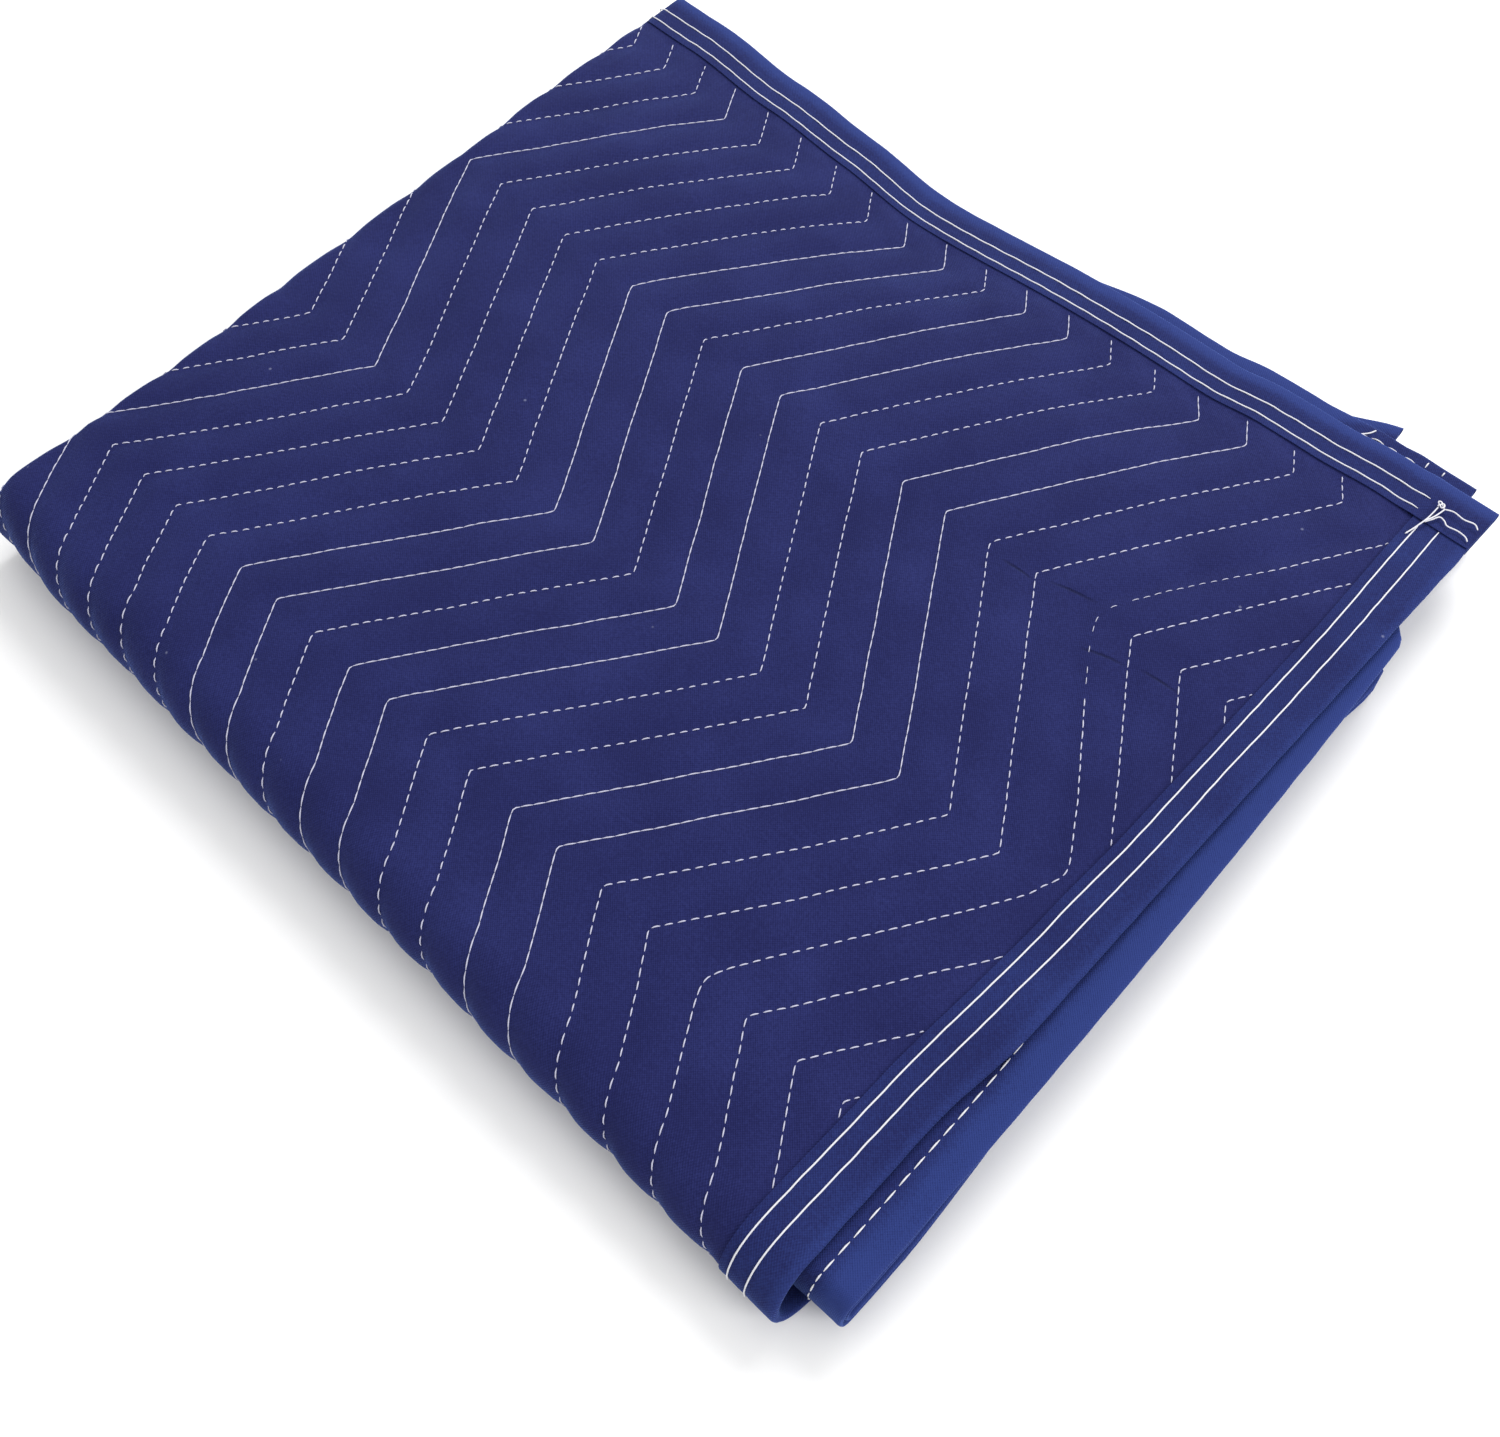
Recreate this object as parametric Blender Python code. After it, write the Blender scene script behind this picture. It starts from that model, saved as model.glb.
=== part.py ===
"""A quilted moving blanket with bound edges, folded into a flat stack of eight layers."""
import math

import bmesh
import bpy
from mathutils import Vector

# The flat cut and the fold, in metres
PITCH = 0.0050
LEVEL = 2 * PITCH
TOP_SPAN = 0.4340
BACK_SPAN = 0.4400
END_SPAN = 0.4360
PANEL_W = 0.4920
EDGE_ARC = math.pi * PITCH / 2
WRAP_R = 3 * PITCH
TURN_ARC = math.pi * PITCH
WRAP_ARC = math.pi * WRAP_R
CUT_W = 2 * PANEL_W + EDGE_ARC
S_INNER = END_SPAN
S_LOW = S_INNER + TURN_ARC
S_TURN = S_LOW + BACK_SPAN
S_BASE = S_TURN + TURN_ARC
S_WRAP = S_BASE + BACK_SPAN
S_TOP = S_WRAP + WRAP_ARC
CUT_L = S_TOP + TOP_SPAN

# Cloth and binding thickness, in metres
HALF = 0.0017
HALF_BOUND = 0.0008
HALF_CORNER = 0.0005
BIND_W = 0.0250
BIND_T = 0.0005
BIND_GAP = 0.0004
BIND_CLEAR = 0.0010
TURN_W = 1.0
TURN_STEPS = 4
RAMP = 0.0080
QUILT_DIP = 0.0009

# The quilted zigzag on the upper panel, in metres
ROW_STEP = 0.02435
ROW_AMP = 0.0730
HALF_PERIOD = 0.1143
ROW_X0 = -0.0095
ROW_Y0 = 0.0415
ROWS = range(-4, 24)
BANDS = range(-1, 4)
QUILT_FROM = 0.3
QUILT_FADE = 0.004

# Where the stack's corners go on the ground, next to a plain rectangle
CORNER_SHIFT = {"near_left": (0.0, 0.004), "near_right": (-0.009, -0.003),
                "far_left": (-0.020, -0.002), "far_right": (-0.014, -0.002)}
WARP_U = (-0.02, 1.05)
WARP_V = (0.0, 1.02)
CREASE_X = 0.1960
CREASE_DEPTH = 0.16
CREASE_FROM = 0.60
CREASE_HALF_W = 0.055
# How far the stack puffs up at D and drops at the hems, and over which shares of its length and width
PUFF_HIGH = 0.10
PUFF_LOW = 0.12
DROP_FAR = 0.08
DROP_SIDE = 0.05
HIGH_U = (0.0, 0.7)
HIGH_V = (0.0, 0.8)
LOW_U = (0.55, 1.0)
LOW_V = (0.0, 0.45)
DROP_U = (0.80, 1.0)
DROP_V = (0.78, 1.0)

# How far the layers under the top one stray from it at the loose edges, in metres
UNDER_REACH = 0.0155
UNDER_BOW = 0.0105
UNDER_BOW_Y = 0.350
UNDER_TUCK = 0.009
UNDER_LEAN = 0.011
LOW_TUCK = 0.012
TOP_DRAW = 0.0045
TOP_DRAW_Y = (0.060, 0.115)
TUCK_Y = (0.347, 0.360)
NOSE_TUCK = 0.65
LOW_BOW = 0.0045
BOW_IN = (0.020, 0.120)
BOW_OUT = (0.300, 0.345)
UNDER_LEAD = 0.0095
LEAD_X = (0.260, 0.330)
END_LEAD = 0.0215
END_DRAW = 0.051
END_X = (0.445, 0.505)
END_FADE = (0.55, 0.95)
END_DRAW_Y = (0.30, 0.44)
LEAD_Y = (0.30, 0.43)
NOSE_U = (0.78, 1.0)
REACH_U = (0.10, 1.0)
# The far hem's waver: how far it lies from straight, over Y, at places along X
HEM_WAVER = ((-0.020, 0.009), (0.030, 0.007), (0.090, 0.0), (0.140, -0.004), (0.195, -0.008),
             (0.240, -0.008), (0.330, -0.0063), (0.362, -0.0068), (0.390, -0.0035), (0.415, -0.003),
             (0.450, 0.0), (0.500, 0.0))
WAVER_Y = (0.330, 0.430)
# The long fold's waver: how far it lies from straight, over X, at places along Y, and how far in it fades
FOLD_WAVER = ((-0.020, 0.003), (0.030, 0.0045), (0.090, 0.0055), (0.170, 0.0025), (0.270, 0.0),
              (0.335, -0.0022), (0.430, -0.005))
FOLD_X = (0.0, 0.140)
WRAP_SWELL = 0.18
SWELL_X = (0.0, 0.060)

# Where every level is cut across, over Y, and along, over X, so that their facets lie alike
LEVEL_CUTS = (0.060, 0.130, 0.210, 0.290, 0.330, 0.347, 0.360, 0.385)
DRAPE_CUTS = (0.070, 0.120, 0.155, 0.180, 0.200, 0.220, 0.245, 0.280, 0.330, 0.380, 0.430)

# Each binding: its name, whether it is on a short side, and whether that is the far side
BINDINGS = (("binding_long_upper", False, False), ("binding_long_lower", False, True),
            ("binding_end_inner", True, False), ("binding_end_top", True, True))

# Cuts of the flat slab: how near a cut takes in a point, and how many cuts each turn has
SNAP = 0.0004
UPWARD = 0.5
UNWARP_STEPS = 12
TURN_CUTS = 6
WRAP_CUTS = 10
BY_TURN = 0.020
EDGE_CUTS = 5
ROUGHNESS = 0.95
SKIN_COLOUR = (0.028, 0.032, 0.145, 1.0)
BIND_COLOUR = (0.030, 0.036, 0.155, 1.0)


def smooth(a, b, x):
    """Rises from 0 at a to 1 at b, level at both ends."""
    k = min(1.0, max(0.0, (x - a) / (b - a)))
    return k * k * (3 - 2 * k)


def blend(u, v, key):
    """The corner shifts, mixed over the stack. u runs from 0 to 1 over X and v over Y."""
    near = CORNER_SHIFT["near_left"][key] * (1 - u) + CORNER_SHIFT["near_right"][key] * u
    far = CORNER_SHIFT["far_left"][key] * (1 - u) + CORNER_SHIFT["far_right"][key] * u
    return near * (1 - v) + far * v


def warp(x, y):
    """A point of the plain rectangle, taken to its place on the ground."""
    u = min(WARP_U[1], max(WARP_U[0], x / PANEL_W))
    v = min(WARP_V[1], max(WARP_V[0], y / TOP_SPAN))
    return x + blend(u, v, 0), y + blend(u, v, 1)


def unwarp(x, y):
    """The place before the warp of a point after it."""
    a, b = x, y
    for _ in range(UNWARP_STEPS):
        p, q = warp(a, b)
        a += x - p
        b += y - q
    return a, b


def puff(x, y):
    """How high the stack stands here, next to its nominal height."""
    u = x / PANEL_W
    v = y / TOP_SPAN
    high = 1.0 + PUFF_HIGH * (1 - smooth(*HIGH_U, u)) * (1 - smooth(*HIGH_V, v))
    low = PUFF_LOW * smooth(*LOW_U, u) * (1 - smooth(*LOW_V, v))
    hem = DROP_FAR * smooth(*DROP_V, v) + DROP_SIDE * smooth(*DROP_U, u)
    away = abs(x - CREASE_X) / CREASE_HALF_W
    crease = CREASE_DEPTH * smooth(CREASE_FROM, 1.0, v) * math.exp(-away * away)
    return high - low - hem - crease


def path(s):
    """Centre of a pair of layers in the stack's section: y, z and its outward normal."""
    mid = 2 * LEVEL
    if s < S_INNER:
        return END_SPAN - s, mid + PITCH, 0.0, -1.0
    if s < S_LOW:
        turn = (s - S_INNER) / PITCH
        return -PITCH * math.sin(turn), mid + PITCH * math.cos(turn), math.sin(turn), -math.cos(turn)
    if s < S_TURN:
        return s - S_LOW, mid - PITCH, 0.0, 1.0
    if s < S_BASE:
        turn = (s - S_TURN) / PITCH
        y = BACK_SPAN + PITCH * math.sin(turn)
        return y, LEVEL + PITCH * math.cos(turn), math.sin(turn), math.cos(turn)
    if s < S_WRAP:
        return S_WRAP - s, PITCH, 0.0, -1.0
    if s < S_TOP:
        turn = (s - S_WRAP) / WRAP_R
        return -WRAP_R * math.sin(turn), mid - WRAP_R * math.cos(turn), -math.sin(turn), -math.cos(turn)
    return s - S_TOP, mid + WRAP_R, 0.0, 1.0


def waver(table, x):
    """How far an edge lies from straight at this place along it."""
    for (a, low), (b, high) in zip(table[:-1], table[1:]):
        if x < b:
            return low + (high - low) * smooth(a, b, x)
    return table[-1][1]


def stray(s, t, x, y):
    """How far a layer strays from the layer on top of it, over X and Y."""
    under = 1.0 if t > PANEL_W + EDGE_ARC else 0.0
    top = smooth(S_WRAP, S_TOP, s)
    end = 1 - smooth(*END_FADE, s / S_INNER)
    far = max(0.0, min(1.0, y / UNDER_BOW_Y))
    over = smooth(TUCK_Y[1], TOP_SPAN, y)
    tuck = smooth(*TUCK_Y, y)
    dx = under * (UNDER_REACH - UNDER_BOW * far * far - top * (UNDER_TUCK * tuck + UNDER_LEAN * over))
    dx -= (1 - top) * LOW_TUCK * tuck
    dx -= (1 - under) * top * TOP_DRAW * (1 - smooth(*TOP_DRAW_Y, y))
    dx -= (1 - top) * LOW_BOW * smooth(*BOW_IN, y) * (1 - smooth(*BOW_OUT, y))
    dx -= end * END_DRAW * smooth(*END_DRAW_Y, y)
    dy = under * top * UNDER_LEAD * smooth(*LEAD_Y, y) * smooth(*LEAD_X, x)
    dy += end * END_LEAD * smooth(*END_X, x)
    dy += waver(HEM_WAVER, x) * smooth(*WAVER_Y, y)
    inside = 1.0 if s < S_BASE else under
    nose = inside * NOSE_TUCK * smooth(*NOSE_U, x / PANEL_W)
    dy += min(0.0, y) * (WRAP_SWELL * smooth(*SWELL_X, x) - nose)
    at_fold = waver(FOLD_WAVER, y) * (1 - smooth(*FOLD_X, x))
    return at_fold + dx * smooth(*REACH_U, x / PANEL_W), dy


def fold(s, t, n):
    """A point of the flat cloth at length s, width t and height n, taken to its place in the stack."""
    if t < PANEL_W:
        x = PANEL_W - t
        h = PITCH / 2 + n
    elif t < PANEL_W + EDGE_ARC:
        turn = 2 * (t - PANEL_W) / PITCH
        x = -math.sin(turn) * (PITCH / 2 + n)
        h = math.cos(turn) * (PITCH / 2 + n)
    else:
        x = t - PANEL_W - EDGE_ARC
        h = -PITCH / 2 - n
    y, z, ny, nz = path(s)
    y += ny * h
    z += nz * h - (PITCH / 2 - HALF)
    dx, dy = stray(s, t, x, y)
    x += dx
    y += dy
    px, py = warp(x, y)
    return px, py, z * puff(x, y)


def cloth_half(s, t):
    """Half the cloth's thickness, thinner under each binding and thinnest at the corners."""
    by_end = min(s, CUT_L - s)
    by_side = min(t, CUT_W - t)
    end = 1 - smooth(BIND_W, BIND_W + RAMP, by_end)
    side = 1 - smooth(BIND_W, BIND_W + RAMP, by_side)
    one = HALF + (HALF_BOUND - HALF) * max(end, side)
    return one + (HALF_CORNER - HALF_BOUND) * min(end, side)


def row_phase(x, y):
    """Where a point of the upper panel lies between two rows of quilting, from 0 to 1."""
    band = (y - ROW_Y0) / HALF_PERIOD
    step = math.floor(band)
    part = band - step
    side = part if step % 2 == 0 else 1 - part
    at = (x - ROW_X0 - ROW_AMP * side) / ROW_STEP
    return at - math.floor(at)


def row_point(row, band):
    """The vertex of a row on a band's edge, on the ground."""
    side = 1.0 if band % 2 else 0.0
    return ROW_X0 + ROW_STEP * row + ROW_AMP * side, ROW_Y0 + HALF_PERIOD * band


def quilted(s, t):
    """Whether this is the upper panel or the outer part of its wrap, which show their quilting."""
    return s > S_WRAP + QUILT_FROM * WRAP_ARC and t < PANEL_W


def quilt_dip(s, t):
    """How deep the stitching pulls the outer face in."""
    if not quilted(s, t) or s > CUT_L - BIND_W or t < BIND_W:
        return 0.0
    x, y = warp(PANEL_W - t, s - S_TOP)
    phase = row_phase(x, y)
    near = min(phase, 1 - phase) * 2
    fade = smooth(QUILT_FROM, 2 * QUILT_FROM, (s - S_WRAP) / WRAP_ARC) * smooth(0.0, QUILT_FADE, PANEL_W - t)
    fade *= smooth(RAMP, 2 * RAMP, CUT_L - BIND_W - s) * smooth(RAMP, 2 * RAMP, t - BIND_W)
    return QUILT_DIP * fade * (1 - near)


def even(a, b, count):
    """The places between a and b that part the stretch in count equal steps."""
    return [a + (b - a) * i / count for i in range(1, count)]


def long_stations():
    """Cut lines across the cloth, at lengths s along it."""
    cuts = [BIND_W, BIND_W + RAMP / 2, BIND_W + RAMP]
    cuts += [CUT_L - c for c in cuts]
    cuts += [S_INNER, S_LOW, S_TURN, S_BASE, S_WRAP, S_TOP]
    cuts += even(S_INNER, S_LOW, TURN_CUTS) + even(S_TURN, S_BASE, TURN_CUTS)
    cuts += even(S_WRAP, S_TOP, WRAP_CUTS)
    for y in LEVEL_CUTS:
        cuts += [END_SPAN - y, S_LOW + y, S_WRAP - y, S_TOP + y]
    cuts += [S_TURN - BY_TURN, S_BASE + BY_TURN]
    return sorted(cuts)


def cross_stations():
    """Cut lines along the cloth, at widths t: both sides of the edge fold."""
    cuts = [BIND_W, BIND_W + RAMP / 2, BIND_W + RAMP]
    cuts += [CUT_W - c for c in cuts]
    cuts += [PANEL_W] + even(PANEL_W, PANEL_W + EDGE_ARC, EDGE_CUTS) + [PANEL_W + EDGE_ARC]
    return sorted(cuts)


def drape_stations():
    """More widths t, for the crease and the puff, where no quilting lines cross."""
    return sorted([PANEL_W - x for x in DRAPE_CUTS] + [PANEL_W + EDGE_ARC + x for x in DRAPE_CUTS])


def slab(length, width):
    """A flat slab from 0 to length, 0 to width and -1 to 1."""
    bm = bmesh.new()
    bmesh.ops.create_cube(bm, size=2.0)
    for v in bm.verts:
        v.co.x = length * (v.co.x + 1) / 2
        v.co.y = width * (v.co.y + 1) / 2
    return bm


def cut(bm, point, normal, pick=None):
    faces = [f for f in bm.faces if pick is None or pick(f)]
    geom = set(faces)
    for f in faces:
        geom.update(f.edges)
        geom.update(f.verts)
    bmesh.ops.bisect_plane(bm, geom=list(geom), dist=SNAP, plane_co=point, plane_no=normal)


def cut_across(bm, cuts, pick=None):
    for s in cuts:
        cut(bm, Vector((s, 0, 0)), Vector((1, 0, 0)), pick)


def cut_along(bm, cuts, pick=None):
    for t in cuts:
        cut(bm, Vector((0, t, 0)), Vector((0, 1, 0)), pick)


def flat_place(x, y):
    """The flat cloth's s and t under a point on the ground of the upper panel."""
    u, v = unwarp(x, y)
    return S_TOP + v, PANEL_W - u


def is_quilt_face(f):
    c = f.calc_center_median()
    if f.normal.z < UPWARD or not quilted(c.x, c.y):
        return False
    return BIND_W + RAMP < c.y < PANEL_W and c.x < CUT_L - BIND_W - RAMP


def cut_quilting(bm):
    """Cuts the outer face of the upper panel along each row, and halfway between two rows."""
    bm.normal_update()
    for band in range(BANDS.start, BANDS.stop + 1):
        y = ROW_Y0 + HALF_PERIOD * band
        a = Vector((*flat_place(0.0, y), 0))
        b = Vector((*flat_place(PANEL_W, y), 0))
        cut(bm, a, (b - a).cross(Vector((0, 0, 1))).normalized(), is_quilt_face)
    for band in BANDS:
        low = ROW_Y0 + HALF_PERIOD * band
        high = low + HALF_PERIOD

        def in_band(f, low=low, high=high):
            if not is_quilt_face(f):
                return False
            c = f.calc_center_median()
            y = warp(PANEL_W - c.y, c.x - S_TOP)[1]
            return low < y < high

        for row in ROWS:
            for half in (0.0, 0.5):
                a = Vector((*flat_place(*row_point(row + half, band)), 0))
                b = Vector((*flat_place(*row_point(row + half, band + 1)), 0))
                cut(bm, a, (b - a).cross(Vector((0, 0, 1))).normalized(), in_band)


def put_in(bm, name, material, collection):
    if bm.calc_volume(signed=True) < 0:
        bmesh.ops.reverse_faces(bm, faces=bm.faces[:])
    mesh = bpy.data.meshes.new(name)
    bm.to_mesh(mesh)
    bm.free()
    mesh.materials.append(material)
    obj = bpy.data.objects.new(name, mesh)
    collection.objects.link(obj)
    return obj


def make_material(name, colour):
    mat = bpy.data.materials.new(name)
    mat.use_nodes = True
    shader = mat.node_tree.nodes["Principled BSDF"]
    shader.inputs["Base Color"].default_value = colour
    shader.inputs["Roughness"].default_value = ROUGHNESS
    return mat


def make_cloth(material, collection):
    bm = slab(CUT_L, CUT_W)
    cut_across(bm, long_stations())
    cut_along(bm, cross_stations())
    cut_quilting(bm)
    bm.normal_update()
    cut_along(bm, drape_stations(), lambda f: not is_quilt_face(f))
    bmesh.ops.triangulate(bm, faces=bm.faces[:], quad_method="BEAUTY", ngon_method="BEAUTY")
    for v in bm.verts:
        s, t, side = v.co
        n = side * cloth_half(s, t)
        if side > 0:
            n -= quilt_dip(s, t)
        v.co = fold(s, t, n)
    return put_in(bm, "quilted_cloth", material, collection)


def binding_turn(w, half_here):
    """The strip's middle line round the cloth's edge: its distance from the edge and its height."""
    reach = half_here + BIND_GAP + BIND_T / 2
    if w < BIND_W:
        return BIND_W - w, reach, 0.0, 1.0
    if w > BIND_W + TURN_W:
        back = w - BIND_W - TURN_W
        return back, -reach, 0.0, -1.0
    turn = math.pi * (w - BIND_W) / TURN_W
    return -reach * math.sin(turn), reach * math.cos(turn), -math.sin(turn), math.cos(turn)


def binding_height(s, t, short):
    """Half the thickness of what the strip goes round at this place."""
    if not short:
        return cloth_half(s, t)
    by_side = min(t, CUT_W - t)
    over = 1 - smooth(BIND_W + BIND_CLEAR, BIND_W + BIND_CLEAR + RAMP, by_side)
    return cloth_half(s, t) + over * (BIND_GAP + BIND_T)


def make_binding(name, short, at_far, material, collection):
    """A strip sewn round one edge of the cloth. Its width is 0 to 25 mm, a turn, and 25 mm back."""
    extra = BIND_GAP + BIND_T if short else 0.0
    length = CUT_W + 2 * extra + 2 * BIND_GAP if short else CUT_L
    bm = slab(length, 2 * BIND_W + TURN_W)
    start = -(extra + BIND_GAP) if short else 0.0
    along = cross_stations() + drape_stations() if short else long_stations()
    cut_across(bm, [c - start for c in sorted(along)])
    cut_along(bm, [BIND_W] + even(BIND_W, BIND_W + TURN_W, TURN_STEPS) + [BIND_W + TURN_W])
    bmesh.ops.triangulate(bm, faces=bm.faces[:], quad_method="BEAUTY", ngon_method="BEAUTY")
    for v in bm.verts:
        a, w, side = v.co
        a += start
        edge = CUT_L if short and at_far else CUT_W if at_far else 0.0
        inward = -1.0 if at_far else 1.0
        if short:
            half = binding_height(0.0, min(max(a, 0.0), CUT_W), True)
        else:
            half = binding_height(a, 0.0, False)
        d, h, nd, nh = binding_turn(w, half)
        d += nd * side * BIND_T / 2
        h += nh * side * BIND_T / 2
        if short:
            v.co = fold(edge + inward * d, a, h)
        else:
            v.co = fold(a, edge + inward * d, h)
    return put_in(bm, name, material, collection)


def centre(objects):
    """Moves the origin to the middle of the whole stack, on the ground."""
    points = [v.co for obj in objects for v in obj.data.vertices]
    mid_x = (min(p.x for p in points) + max(p.x for p in points)) / 2
    mid_y = (min(p.y for p in points) + max(p.y for p in points)) / 2
    low = min(p.z for p in points)
    for point in points:
        point -= Vector((mid_x, mid_y, low))


def main():
    for obj in list(bpy.data.objects):
        bpy.data.objects.remove(obj, do_unlink=True)
    collection = bpy.data.collections.new("moving_blanket")
    bpy.context.scene.collection.children.link(collection)
    skin = make_material("quilted_fabric", SKIN_COLOUR)
    strip = make_material("edge_binding", BIND_COLOUR)
    pieces = [make_cloth(skin, collection)]
    for name, short, at_far in BINDINGS:
        pieces.append(make_binding(name, short, at_far, strip, collection))
    centre(pieces)


main()
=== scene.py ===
"""The looks of a quilted moving blanket, folded in eight layers: cloth, bindings, threads and studio."""
import math

import bmesh
import bpy
import numpy as np
from mathutils import Matrix, Vector, noise


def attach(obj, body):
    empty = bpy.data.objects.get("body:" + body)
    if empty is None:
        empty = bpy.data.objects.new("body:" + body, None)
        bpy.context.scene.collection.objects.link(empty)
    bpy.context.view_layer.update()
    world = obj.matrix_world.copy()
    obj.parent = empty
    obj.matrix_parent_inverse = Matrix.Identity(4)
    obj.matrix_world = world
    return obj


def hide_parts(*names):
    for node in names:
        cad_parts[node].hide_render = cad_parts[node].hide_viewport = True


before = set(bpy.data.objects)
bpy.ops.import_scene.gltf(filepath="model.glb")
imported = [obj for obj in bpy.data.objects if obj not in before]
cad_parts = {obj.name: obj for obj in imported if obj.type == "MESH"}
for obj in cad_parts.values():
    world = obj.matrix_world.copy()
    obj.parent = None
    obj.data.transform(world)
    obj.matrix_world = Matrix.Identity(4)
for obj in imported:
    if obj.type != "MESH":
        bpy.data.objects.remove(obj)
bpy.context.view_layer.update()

# The flat cut and the fold, in metres, as in the solids
PITCH = 0.0050
LEVEL = 2 * PITCH
TOP_SPAN = 0.4340
BACK_SPAN = 0.4400
END_SPAN = 0.4360
PANEL_W = 0.4920
EDGE_ARC = math.pi * PITCH / 2
WRAP_R = 3 * PITCH
TURN_ARC = math.pi * PITCH
WRAP_ARC = math.pi * WRAP_R
CUT_W = 2 * PANEL_W + EDGE_ARC
S_INNER = END_SPAN
S_LOW = S_INNER + TURN_ARC
S_TURN = S_LOW + BACK_SPAN
S_BASE = S_TURN + TURN_ARC
S_WRAP = S_BASE + BACK_SPAN
S_TOP = S_WRAP + WRAP_ARC
CUT_L = S_TOP + TOP_SPAN
MIDDLE = (0.23519, 0.21502)

# Cloth and binding thickness, in metres
HALF = 0.0017
HALF_BOUND = 0.0008
HALF_CORNER = 0.0005
BIND_W = 0.0250
BIND_T = 0.0005
BIND_GAP = 0.0004
RAMP = 0.0080

# Where the stack's corners go on the ground, next to a plain rectangle, how far past the rectangle's edges
# that goes on, and how many rounds find a place from where it went
CORNER_SHIFT = {"near_left": (0.0, 0.004), "near_right": (-0.009, -0.003),
                "far_left": (-0.020, -0.002), "far_right": (-0.014, -0.002)}
WARP_U = (-0.02, 1.05)
WARP_V = (0.0, 1.02)
WARP_ROUNDS = 12
DRAWN_ROUNDS = 8
# The broad crease across the top by the far hem: where, how deep and how wide it is
CREASE_X = 0.1960
CREASE_DEPTH = 0.16
CREASE_FROM = 0.60
CREASE_HALF_W = 0.055
# How far the stack puffs up at D and drops at the hems, and over which shares of its length and width
PUFF_HIGH = 0.10
PUFF_LOW = 0.12
DROP_FAR = 0.08
DROP_SIDE = 0.05
HIGH_U = (0.0, 0.7)
HIGH_V = (0.0, 0.8)
LOW_U = (0.55, 1.0)
LOW_V = (0.0, 0.45)
DROP_U = (0.80, 1.0)
DROP_V = (0.78, 1.0)

# How far the layers under the top one stray from it at the loose edges
UNDER_REACH = 0.0155
UNDER_BOW = 0.0105
UNDER_BOW_Y = 0.350
UNDER_TUCK = 0.009
UNDER_LEAN = 0.011
LOW_TUCK = 0.012
TOP_DRAW = 0.0045
TOP_DRAW_Y = (0.060, 0.115)
TUCK_Y = (0.347, 0.360)
NOSE_TUCK = 0.65
LOW_BOW = 0.0045
BOW_IN = (0.020, 0.120)
BOW_OUT = (0.300, 0.345)
UNDER_LEAD = 0.0095
LEAD_X = (0.260, 0.330)
END_LEAD = 0.0215
END_DRAW = 0.051
END_X = (0.445, 0.505)
END_FADE = (0.55, 0.95)
END_DRAW_Y = (0.30, 0.44)
LEAD_Y = (0.30, 0.43)
NOSE_U = (0.78, 1.0)
REACH_U = (0.10, 1.0)
# The far hem's waver: how far it lies from straight, over Y, at places along X
HEM_WAVER = ((-0.020, 0.009), (0.030, 0.007), (0.090, 0.0), (0.140, -0.004), (0.195, -0.008),
             (0.240, -0.008), (0.330, -0.0063), (0.362, -0.0068), (0.390, -0.0035), (0.415, -0.003),
             (0.450, 0.0), (0.500, 0.0))
WAVER_Y = (0.330, 0.430)
# The long fold's waver: how far it lies from straight, over X, at places along Y, and how far in it fades
FOLD_WAVER = ((-0.020, 0.003), (0.030, 0.0045), (0.090, 0.0055), (0.170, 0.0025), (0.270, 0.0),
              (0.335, -0.0022), (0.430, -0.005))
FOLD_X = (0.0, 0.140)
WRAP_SWELL = 0.18
SWELL_X = (0.0, 0.060)

# The zigzag quilting on the ground: rows run along Y and turn at each line of vertices, where a band begins
ROW_STEP = 0.02435
ROW_AMP = 0.0730
HALF_PERIOD = 0.1143
ROW_X0 = -0.0095
ROW_Y0 = 0.0415
ROWS = range(-8, 26)
BANDS = range(-5, 4)
BAND_POINTS = 60
# How far the vertices lie off their lines, over Y: bands 0 to 3, at five places along X
SHIFT_X = (-0.020, 0.090, 0.190, 0.330, 0.460)
ROW_SHIFT = ((0.0020, -0.0010, -0.0015, 0.0012, 0.0020), (-0.0010, -0.0035, -0.0035, -0.0028, 0.0015),
             (0.0065, 0.0, -0.0020, -0.0018, 0.0022), (0.0060, 0.0, 0.0045, 0.0065, 0.0085))
# How far the rows lean back toward the far hem
ROW_DRAW = 0.0017
# How far the rows bend aside as they go round the near fold, and over which X and Y
ROW_CURL = 0.0060
CURL_X = (0.130, 0.300)
CURL_Y = (-0.045, 0.022)
# How far the first vertices lie back over X, and where that begins and ends
ROW_BACK = 0.0022
BACK_FROM = (0.140, 0.230)
BACK_TO = (0.330, 0.400)
# How far the threads wander: how high, how wide, where in the noise, and how far apart rows are there
WOBBLE = ((0.0005, 0.23, 1.3, 1.7), (0.0003, 0.07, 4.1, 1.0))
ROUNDING = 0.006

# The cloth's relief: valleys along the rows, from S_BASE on, and unevenness of the panel in view, which
# is given as how high, how wide and where in the noise. Both fade out beside the bindings.
QUILT_DIP = 0.0012
QUILT_WIDTH = 0.0042
SEWN_FROM = S_BASE + 0.004
UNEVEN = ((0.0009, 0.055, 3.1), (0.00035, 0.014, 7.7))
SHOWN_TO = S_WRAP + 0.3 * WRAP_ARC
HEM_FADE = 0.006

# Stitches of the rows: their pitch, how they bow up out of the cloth, the gap between two, and their radius
STITCH_STEP = 0.0051
STITCH_ARCH = np.array([-0.00025, 0.00024, 0.00024, -0.00025])
STITCH_POINTS = len(STITCH_ARCH)
STITCH_GAP = 0.0012
FIRST_STITCH = 0.0006
SHORTEST = 0.0012
THREAD_R = 0.00029
# How far the rows keep from the far strip and reach under the upper long one
ROW_CLEAR = 0.0008
ROW_UNDER = 0.0002
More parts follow.
